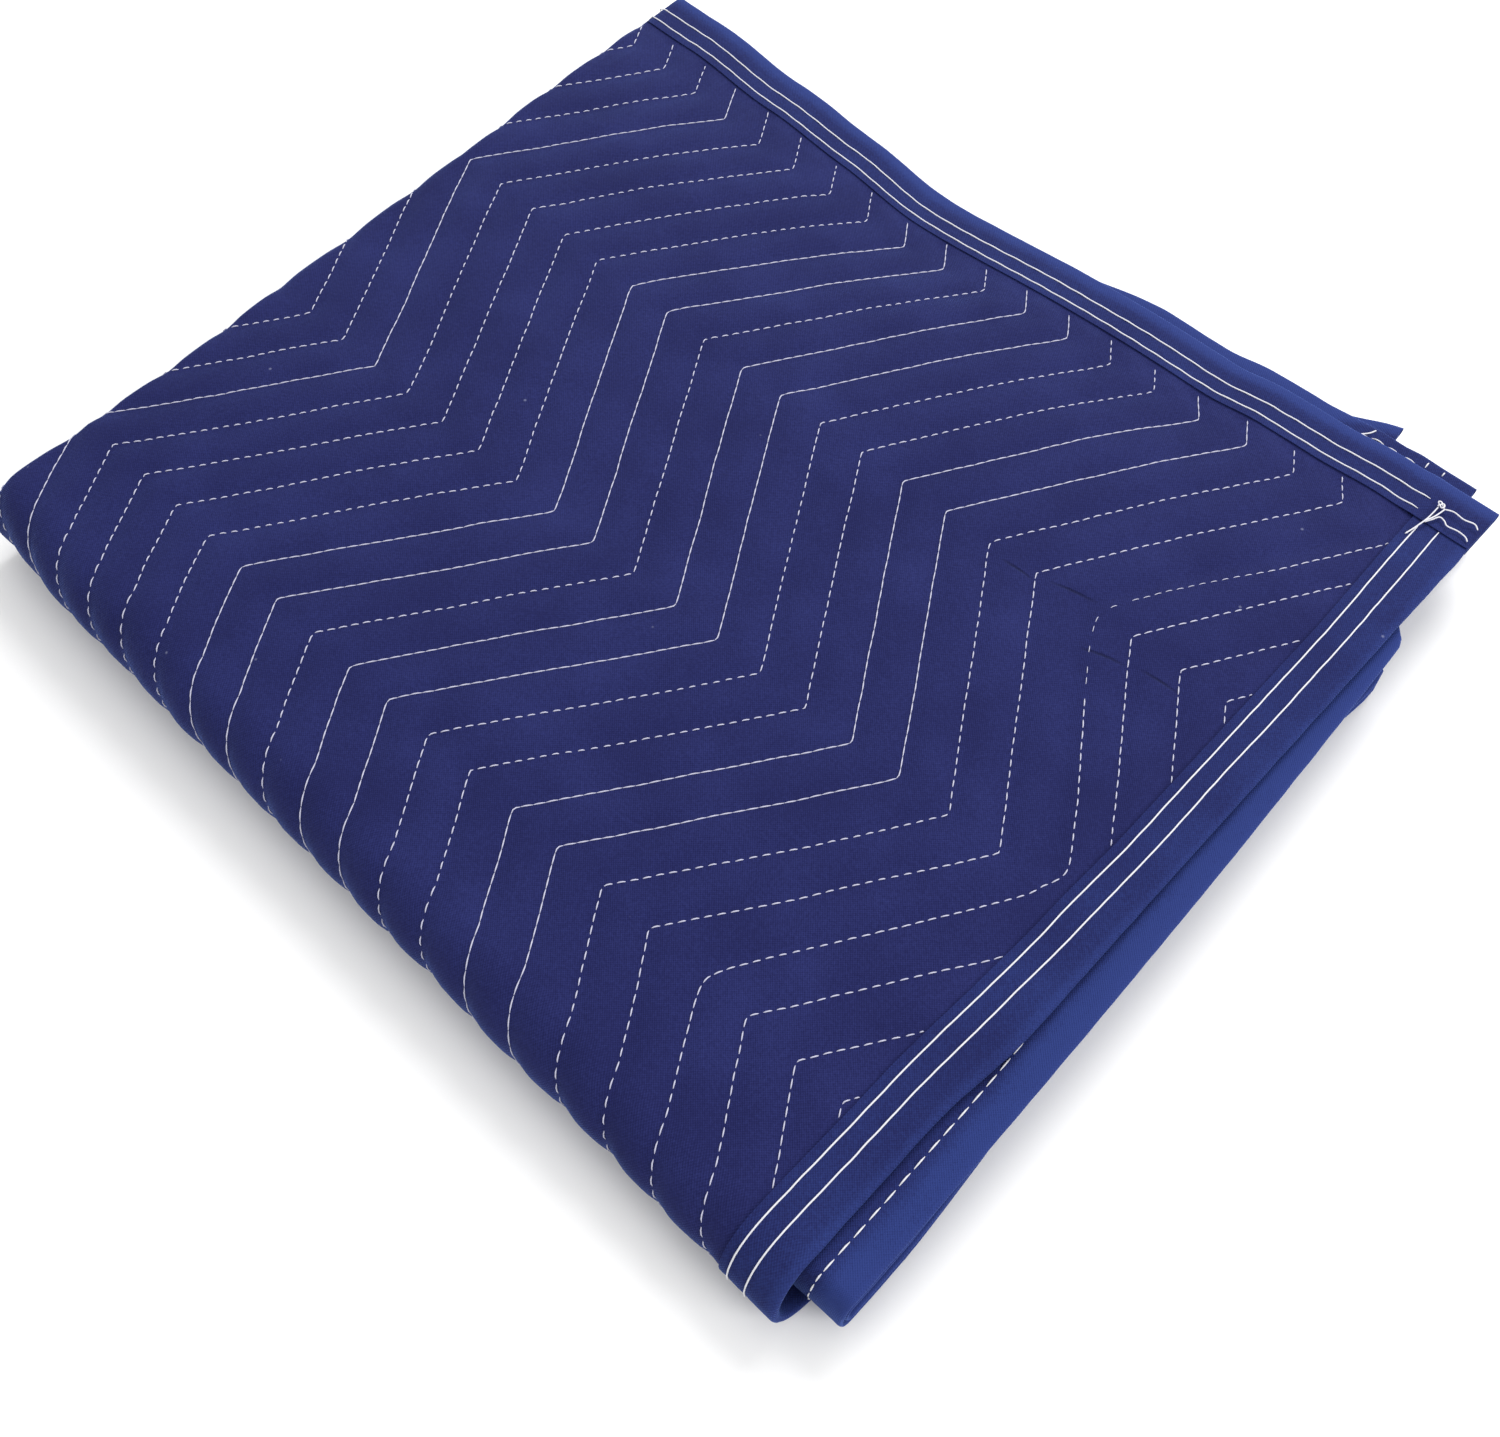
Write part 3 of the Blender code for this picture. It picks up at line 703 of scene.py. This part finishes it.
def stitches(route, step, length, gap_start):
    """Cuts a route, an array of points, into stretches of thread of even length, step by step."""
    route = np.asarray(route, float)
    far = np.concatenate([[0], np.cumsum(np.linalg.norm(np.diff(route, axis=0), axis=1))])
    out = []
    at = gap_start
    while at + SHORTEST < far[-1]:
        stop = min(at + length, far[-1])
        marks = np.linspace(at, stop, STITCH_POINTS)
        out.append(np.stack([np.interp(marks, far, route[:, k]) for k in range(route.shape[1])], -1))
        at += step
    return out


def runs(ok):
    """The first and last index of each unbroken run where ok holds."""
    marks = np.flatnonzero(np.diff(np.concatenate([[0], ok.astype(int), [0]])))
    return [(a, b) for a, b in zip(marks[::2], marks[1::2]) if b - a > 1]


def make_quilting(name, surface, first, last, material):
    """The zigzag rows that show between two lengths of the upper panel, in stitches of uneven length."""
    lines = []
    for row in ROWS:
        x, y = row_route(row)
        s, t = flat_place(x, y)
        ok = (s > first) & (s < min(last, CUT_L - BIND_W - ROW_CLEAR))
        ok &= (t > long_width(s) - ROW_UNDER) & (t < PANEL_W + EDGE_ARC)
        tight = row in TIGHT_ROWS
        gap = TIGHT_GAP if tight else STITCH_GAP
        arch = TIGHT_ARCH if tight else STITCH_ARCH
        for a, b in runs(ok):
            route = np.stack([s[a:b], t[a:b]], -1)
            for k, piece in enumerate(stitches(route, STITCH_STEP, STITCH_STEP - gap, FIRST_STITCH)):
                change = noise.noise(Vector((piece[0, 0] * TRIM_SCALE, piece[0, 1] * TRIM_SCALE, row)))
                trim = np.clip(TRIM * change, *TRIM_LIMITS)
                length = math.hypot(*(piece[-1] - piece[0]))
                if length > TRIM_LENGTH and not tight:
                    piece = piece[0] + (piece - piece[0]) * min(MOST_STRETCH, 1 - trim / length)
                size = 1.0
                if row == SLACK_ROW and piece[0, 0] > FAINT_FROM:
                    size = FAINT_SIZE + FAINT_MORE * smooth(*FAINT_FADE, piece[0, 0] - S_TOP)
                    if k % 5 in MISSING_OF_FIVE and piece[0, 0] < MISSING_TO:
                        continue
                height = surface.at(piece[:, 0], piece[:, 1]) + arch
                lines.append((fold(piece[:, 0], piece[:, 1], height), THREAD_R * size))
    return tubes(name, lines, material)


def make_hem_thread(name, short, at_far, material):
    """Both rows of thread through one binding: unbroken on its outer face, in long stitches on the other."""
    lines = []
    reach = CUT_W if short else CUT_L
    first = HEM_FIRST_SHORT if short else HEM_FIRST_LONG
    for k, row in enumerate(HEM_ROWS_LOWER if at_far and not short else HEM_ROWS):
        for side in (1, -1):
            start = first + HEM_LATER * (1 - k) if side > 0 or short else HEM_FIRST_HIDDEN
            count = round((reach - 2 * start) / HEM_WAVE_STEP)
            a = np.linspace(start, reach - start, count)
            wander = sum(high * ripple(a, 0 * a + k, scale, seed + k) for high, scale, seed in HEM_WANDER)
            d = (short_width(a, at_far) if short else long_width(a, at_far)) - row + wander
            route = np.stack([a, d], -1)
            pieces = [route] if side > 0 else stitches(route, HEM_STEP, HEM_STITCH, HEM_SECOND_ROW * k)
            for piece in pieces:
                steps = np.arange(len(piece))
                arch = HEM_ARCH * np.sin(steps * HEM_ARCH_TURN + k) if side > 0 else STITCH_ARCH
                half = strip_half(piece[:, 0], short)
                by_end = np.minimum(piece[:, 0], reach - piece[:, 0])
                over = 0 * by_end if short else 1 - smooth(*HEM_STEP_UP, by_end)
                half = half + over * (BIND_GAP + BIND_T)
                height = side * (half + BIND_GAP + BIND_T + HEM_PROUD + arch)
                lines.append((strip_place(piece[:, 0], piece[:, 1], height, short, at_far), HEM_THREAD_R))
    return tubes(name, lines, material)


def rounded(points, count):
    """A smooth curve through a few points."""
    points = np.asarray(points, float)
    first = 2 * points[0] - points[1]
    last = 2 * points[-1] - points[-2]
    p = np.concatenate([[first], points, [last]])
    out = []
    for k in range(1, len(p) - 2):
        for u in np.linspace(0, 1, count, endpoint=False):
            out.append(0.5 * (2 * p[k] + (p[k + 1] - p[k - 1]) * u
                              + (2 * p[k - 1] - 5 * p[k] + 4 * p[k + 1] - p[k + 2]) * u * u
                              + (3 * p[k] - p[k - 1] - 3 * p[k + 1] + p[k + 2]) * u ** 3))
    out.append(points[-1])
    return np.array(out)


def make_corner_thread(material):
    """The knot and the loose ends of thread on the far corner's square."""
    lines = []
    for k, strand in enumerate(CORNER_THREADS):
        curve = rounded(strand, CURVE_POINTS)
        t, end = curve[:, 0], curve[:, 1]
        half = strip_half(t, True)
        lift = STRAND_RISE * smooth(BIND_W + STRAND_RISE_W, BIND_W, end) + STRAND_OVER * (k % 3)
        lift = lift + STRAND_BOW * np.sin(np.linspace(0, math.pi, len(t)))
        height = half + BIND_GAP + BIND_T + lift
        lines.append((fold(CUT_L - end, t, height), HEM_THREAD_R * STRAND_SIZE))
    curve = rounded(UNDER_THREAD, CURVE_POINTS)
    height = -(strip_half(curve[:, 0], True) + BIND_GAP + BIND_T + STRAND_OVER)
    lines.append((fold(CUT_L - curve[:, 1], curve[:, 0], height), HEM_THREAD_R))
    return tubes("thread_corner", lines, material)


# The looks of cloth and thread. Noise over the object and the flat cloth mixes two tones and makes the bump.
CLOTH_LOOK = {"Roughness": 0.88, "Specular IOR Level": 0.16, "Sheen Weight": 0.5, "Sheen Roughness": 0.28,
              "Sheen Tint": (0.20, 0.36, 1.0, 1.0)}
DOT_PITCH = 0.0012
DOT_TONE = 0.22
FLECK_SCALE = 900.0
FLECK_DETAIL = 3.0
FLECK_TONE = 1.1
MOTTLE_SCALE = 26.0
MOTTLE_DETAIL = 4.0
TONE_SHIFT = 0.83
LINT_SCALE = 34.0
LINT_REACH = (0.030, 0.010)
LINT_TONE = 0.35
LINT_COLOUR = (0.30, 0.32, 0.45)
FINE_BUMP = 0.5
WRINKLE_LEAN = math.radians(28)
WRINKLE_SCALE = (14.0, 75.0, 1.0)
WRINKLE_DETAIL = 3.0
WRINKLE_BUMP = 6.0
# Creases: how far from the line they reach, how much painted shade darkens them, and how they fade toward their
# ends
CREASE_REACH = (0.0011, 0.0001)
CREASE_SHADE = 0.6
CREASE_SHADE_COLOUR = 0.3
CREASE_BUMP = 2.0
CREASE_SPAN = 0.8
CREASE_START = 0.1
BUMP_STRENGTH = 0.75
BUMP_DISTANCE = 0.00025
THREAD_LOOK = {"Roughness": 0.6, "Sheen Weight": 0.2}
TWIST_SCALE = 700.0
TWIST_DARK = 0.75


class Shading:
    """One material's nodes, with a short call for each kind that is used here."""

    def __init__(self, name, look):
        self.mat = bpy.data.materials.new(name)
        self.mat.use_nodes = True
        self.nodes = self.mat.node_tree.nodes
        self.links = self.mat.node_tree.links
        self.shader = self.nodes["Principled BSDF"]
        for socket, value in look.items():
            self.shader.inputs[socket].default_value = value
        self.coords = self.nodes.new("ShaderNodeTexCoord")

    def put(self, socket, value):
        """Links another node's output to a socket, or sets the socket to a plain value."""
        if isinstance(value, (int, float, tuple)):
            socket.default_value = value
        elif value is not None:
            self.links.new(value, socket)

    def math(self, kind, a, b=None):
        node = self.nodes.new("ShaderNodeMath")
        node.operation = kind
        self.put(node.inputs[0], a)
        self.put(node.inputs[1], b)
        return node.outputs["Value"]

    def vector(self, kind, a, b=None, out="Vector"):
        node = self.nodes.new("ShaderNodeVectorMath")
        node.operation = kind
        self.put(node.inputs[0], a)
        self.put(node.inputs["Scale" if kind == "SCALE" else 1], b)
        return node.outputs[out]

    def noise(self, scale, detail, place):
        node = self.nodes.new("ShaderNodeTexNoise")
        self.put(node.inputs["Scale"], scale)
        self.put(node.inputs["Detail"], detail)
        self.put(node.inputs["Vector"], place)
        return node.outputs["Fac"]

    def mix(self, factor, a, b):
        node = self.nodes.new("ShaderNodeMix")
        node.data_type = "RGBA"
        self.put(node.inputs["Factor"], factor)
        self.put(node.inputs["A"], a)
        self.put(node.inputs["B"], b)
        return node.outputs["Result"]

    def rise(self, value, start, stop, top=1.0, kind="SMOOTHSTEP"):
        """Rises from 0 where the value is at start to the top where it is at stop."""
        node = self.nodes.new("ShaderNodeMapRange")
        node.interpolation_type = kind
        self.put(node.inputs["From Min"], start)
        self.put(node.inputs["From Max"], stop)
        self.put(node.inputs["To Max"], top)
        self.put(node.inputs["Value"], value)
        return node.outputs["Result"]


def crease_line(shading, flat, crease):
    """How strongly one small sharp crease shows at a place of the flat cloth."""
    (end_a, t_a), (end_b, t_b) = crease
    along = (end_a - end_b, t_b - t_a, 0.0)
    away = shading.vector("SUBTRACT", flat, (CUT_L - end_a, t_a, 0.0))
    part = shading.vector("DOT_PRODUCT", away, along, "Value")
    part = shading.math("DIVIDE", part, along[0] ** 2 + along[1] ** 2)
    part = shading.math("MINIMUM", shading.math("MAXIMUM", part, 0.0), 1.0)
    off = shading.vector("SUBTRACT", away, shading.vector("SCALE", along, part))
    line = shading.rise(shading.vector("LENGTH", off, out="Value"), *CREASE_REACH)
    swell = shading.math("ADD", shading.math("MULTIPLY", part, CREASE_SPAN), CREASE_START)
    return shading.math("MULTIPLY", line, shading.math("SINE", shading.math("MULTIPLY", swell, math.pi)))


def cloth_material(name, colour, light_colour, creases=(), painted_rim_highlight=None):
    """Matte nonwoven cloth: embossed dots, small flecks, a broad mottle, lint, creases in painted shade, a
    painted rim highlight.
    """
    shading = Shading(name, CLOTH_LOOK)
    flat = shading.coords.outputs["UV"]
    place = shading.coords.outputs["Object"]
    split = shading.nodes.new("ShaderNodeSeparateXYZ")
    shading.put(split.inputs["Vector"], flat)
    turns = 2 * math.pi / DOT_PITCH
    waves = [shading.math("SINE", shading.math("MULTIPLY", split.outputs[axis], turns)) for axis in "XY"]
    dots = shading.math("MULTIPLY", *waves)
    fleck = shading.noise(FLECK_SCALE, FLECK_DETAIL, place)
    light = shading.noise(MOTTLE_SCALE, MOTTLE_DETAIL, place)
    light = shading.math("ADD", light, shading.math("MULTIPLY", fleck, FLECK_TONE))
    light = shading.math("ADD", light, shading.math("MULTIPLY", dots, DOT_TONE))
    light = shading.math("SUBTRACT", light, TONE_SHIFT)
    # Painted highlight: the strips grow lighter toward their folded outer edge, as grazing light would make
    # them
    if painted_rim_highlight is not None:
        light = shading.math("ADD", light, shading.rise(shading.math("FRACT", split.outputs["Y"]), *painted_rim_highlight))
    tone = shading.mix(light, (*colour, 1.0), (*light_colour, 1.0))
    lint = shading.nodes.new("ShaderNodeTexVoronoi")
    shading.put(lint.inputs["Scale"], LINT_SCALE)
    shading.put(lint.inputs["Vector"], place)
    speck = shading.rise(lint.outputs["Distance"], *LINT_REACH, LINT_TONE, "LINEAR")
    tone = shading.mix(speck, tone, (*LINT_COLOUR, 1.0))
    height = shading.math("MULTIPLY", dots, FINE_BUMP)
    height = shading.math("ADD", height, shading.math("MULTIPLY", fleck, FINE_BUMP))
    slant = shading.nodes.new("ShaderNodeMapping")
    shading.put(slant.inputs["Rotation"], (0.0, 0.0, WRINKLE_LEAN))
    shading.put(slant.inputs["Scale"], WRINKLE_SCALE)
    shading.put(slant.inputs["Vector"], flat)
    wrinkle = shading.noise(1.0, WRINKLE_DETAIL, slant.outputs["Vector"])
    height = shading.math("ADD", height, shading.math("MULTIPLY", wrinkle, WRINKLE_BUMP))
    if creases:
        dark = crease_line(shading, flat, creases[0])
        for crease in creases[1:]:
            dark = shading.math("MAXIMUM", dark, crease_line(shading, flat, crease))
        # Painted shade: each crease line is darkened toward a deep navy, as the shade in a crease would be
        crease_shade_colour = (*(CREASE_SHADE_COLOUR * c for c in colour), 1.0)
        tone = shading.mix(shading.math("MULTIPLY", dark, CREASE_SHADE), tone, crease_shade_colour)
        height = shading.math("SUBTRACT", height, shading.math("MULTIPLY", dark, CREASE_BUMP))
    shading.put(shading.shader.inputs["Base Color"], tone)
    bump = shading.nodes.new("ShaderNodeBump")
    shading.put(bump.inputs["Strength"], BUMP_STRENGTH)
    shading.put(bump.inputs["Distance"], BUMP_DISTANCE)
    shading.put(bump.inputs["Height"], height)
    shading.put(shading.shader.inputs["Normal"], bump.outputs["Normal"])
    return shading.mat


def thread_material(name, colour):
    """Pale thread, a little darker here and there as its twist turns."""
    shading = Shading(name, THREAD_LOOK)
    twist = shading.noise(TWIST_SCALE, 2.0, shading.coords.outputs["Object"])
    tone = shading.mix(twist, (*(TWIST_DARK * c for c in colour), 1.0), (*colour, 1.0))
    shading.put(shading.shader.inputs["Base Color"], tone)
    return shading.mat


# The camera: where the photograph was taken from
CAMERA_PLACE = (0.5805, -0.1336, 0.5944)
TOP_PLANE = 0.0390
CAMERA_AZIMUTH = 44.33
CAMERA_ELEVATION = 57.84
CAMERA_ROLL = -0.70
LENS = 42.42
SENSOR_W = 36.0
# The studio: each light's place, size and power, the sky and the floor
LIGHTS = (("key", (-0.3, 1.5, 1.6), 1.2, 34.0), ("fill", (1.8, 0.1, 1.0), 1.0, 16.0))
SKY_STRENGTH = 0.9
FLOOR_HALF = 12.0
FLOOR_Z = -0.0002
FLOOR_LOOK = {"Base Color": (0.88, 0.88, 0.88, 1.0), "Roughness": 0.9}


def make_camera():
    """The camera, where the photograph was taken from."""
    data = bpy.data.cameras.new("camera")
    data.lens = LENS
    data.sensor_width = SENSOR_W
    data.sensor_fit = "HORIZONTAL"
    camera = bpy.data.objects.new("camera", data)
    place = Vector((CAMERA_PLACE[0] - MIDDLE[0], CAMERA_PLACE[1] - MIDDLE[1], CAMERA_PLACE[2] + TOP_PLANE))
    turn = Matrix.Rotation(math.radians(CAMERA_AZIMUTH), 4, "Z")
    turn = turn @ Matrix.Rotation(math.radians(90 - CAMERA_ELEVATION), 4, "X")
    turn = turn @ Matrix.Rotation(math.radians(CAMERA_ROLL), 4, "Z")
    camera.matrix_world = Matrix.Translation(place) @ turn
    bpy.context.scene.collection.objects.link(camera)
    bpy.context.scene.camera = camera


def area_light(name, place, size, power):
    """A round soft light that points at the middle of the blanket."""
    data = bpy.data.lights.new(name, "AREA")
    data.shape = "DISK"
    data.size = size
    data.energy = power
    light = bpy.data.objects.new(name, data)
    light.location = place
    light.rotation_euler = (-Vector(place)).to_track_quat("-Z", "Y").to_euler()
    bpy.context.scene.collection.objects.link(light)


def make_studio():
    """Plain soft light, a white sky and a pale floor."""
    world = bpy.data.worlds.new("studio")
    bpy.context.scene.world = world
    world.use_nodes = True
    sky = world.node_tree.nodes["Background"]
    sky.inputs["Color"].default_value = (1.0, 1.0, 1.0, 1.0)
    sky.inputs["Strength"].default_value = SKY_STRENGTH
    for light in LIGHTS:
        area_light(*light)
    floor_mesh = bpy.data.meshes.new("floor")
    corners = [(x * FLOOR_HALF, y * FLOOR_HALF, FLOOR_Z) for x, y in ((-1, -1), (1, -1), (1, 1), (-1, 1))]
    floor_mesh.from_pydata(corners, [], [(0, 1, 2, 3)])
    floor = bpy.data.objects.new("floor", floor_mesh)
    floor_mesh.materials.append(Shading("floor_paint", FLOOR_LOOK).mat)
    bpy.context.scene.collection.objects.link(floor)
    bpy.context.scene.view_settings.view_transform = "Standard"


# Each binding: its name, whether it is on a short edge, and whether that is the far edge of the cut
BINDINGS = (("binding_long_upper", False, False), ("binding_long_lower", False, True),
            ("binding_end_inner", True, False), ("binding_end_top", True, True))
# Each cloth's two tones, which the mottle mixes at random; the strips' lighter tone is also the royal blue of
# their painted rim highlight
NAVY = (0.0085, 0.0105, 0.0680)
NAVY_LIGHT = (0.0215, 0.0280, 0.1340)
STRIP = (0.0090, 0.0125, 0.0760)
STRIP_LIGHT_AND_RIM_HIGHLIGHT = (0.0195, 0.0350, 0.1600)
WHITE = (0.76, 0.76, 0.80)
PALE = (0.54, 0.54, 0.68)
# Each strip's painted rim highlight: between which distances from its inner edge it begins, and how much
# lighter it gets
PAINTED_RIM_HIGHLIGHT_UPPER = (0.0205, 0.0245, 0.3)
PAINTED_RIM_HIGHLIGHT_SHORT = (0.0170, 0.0245, 1.0)
PAINTED_RIM_HIGHLIGHT_LOWER = (0.009, 0.020, 0.8)
# The lengths at which the rows' threads begin, those in view and those under the near fold
SHOWN_FROM = S_WRAP + 0.004
UNDER_FROM = S_BASE + 0.006


def build():
    """Makes the whole scene, hangs each piece on the root body, and hides the solids of model.glb that the
    cloth and strips replace.
    """
    make_camera()
    make_studio()
    skin = cloth_material("quilted_nonwoven", NAVY, NAVY_LIGHT, creases=CREASES)
    # The three strip materials are one cloth that differs only in its painted rim highlight
    strip = cloth_material("strip_nonwoven", STRIP, STRIP_LIGHT_AND_RIM_HIGHLIGHT, painted_rim_highlight=PAINTED_RIM_HIGHLIGHT_UPPER)
    end_strip = cloth_material("strip_nonwoven_end", STRIP, STRIP_LIGHT_AND_RIM_HIGHLIGHT, painted_rim_highlight=PAINTED_RIM_HIGHLIGHT_SHORT)
    under_strip = cloth_material("strip_nonwoven_under", STRIP, STRIP_LIGHT_AND_RIM_HIGHLIGHT, painted_rim_highlight=PAINTED_RIM_HIGHLIGHT_LOWER)
    white = thread_material("hem_thread_white", WHITE)
    pale = thread_material("quilting_thread_pale", PALE)
    cloth, surface = make_cloth(skin)
    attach(cloth, "root")
    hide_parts("quilted_cloth")
    extras = []
    for name, short, at_far in BINDINGS:
        cloth_of_strip = end_strip if short else (under_strip if at_far else strip)
        piece = make_binding("strip_" + name, short, at_far, cloth_of_strip)
        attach(piece, "root")
        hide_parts(name)
        thread = make_hem_thread("thread_" + name, short, at_far, white)
        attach(thread, "root")
        extras += [piece, thread]
    threads = [make_quilting("quilting_thread", surface, SHOWN_FROM, CUT_L, pale),
               make_quilting("quilting_thread_under", surface, UNDER_FROM, SHOWN_FROM, pale),
               make_corner_thread(white)]
    for thread in threads:
        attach(thread, "root")
    extras += threads


build()
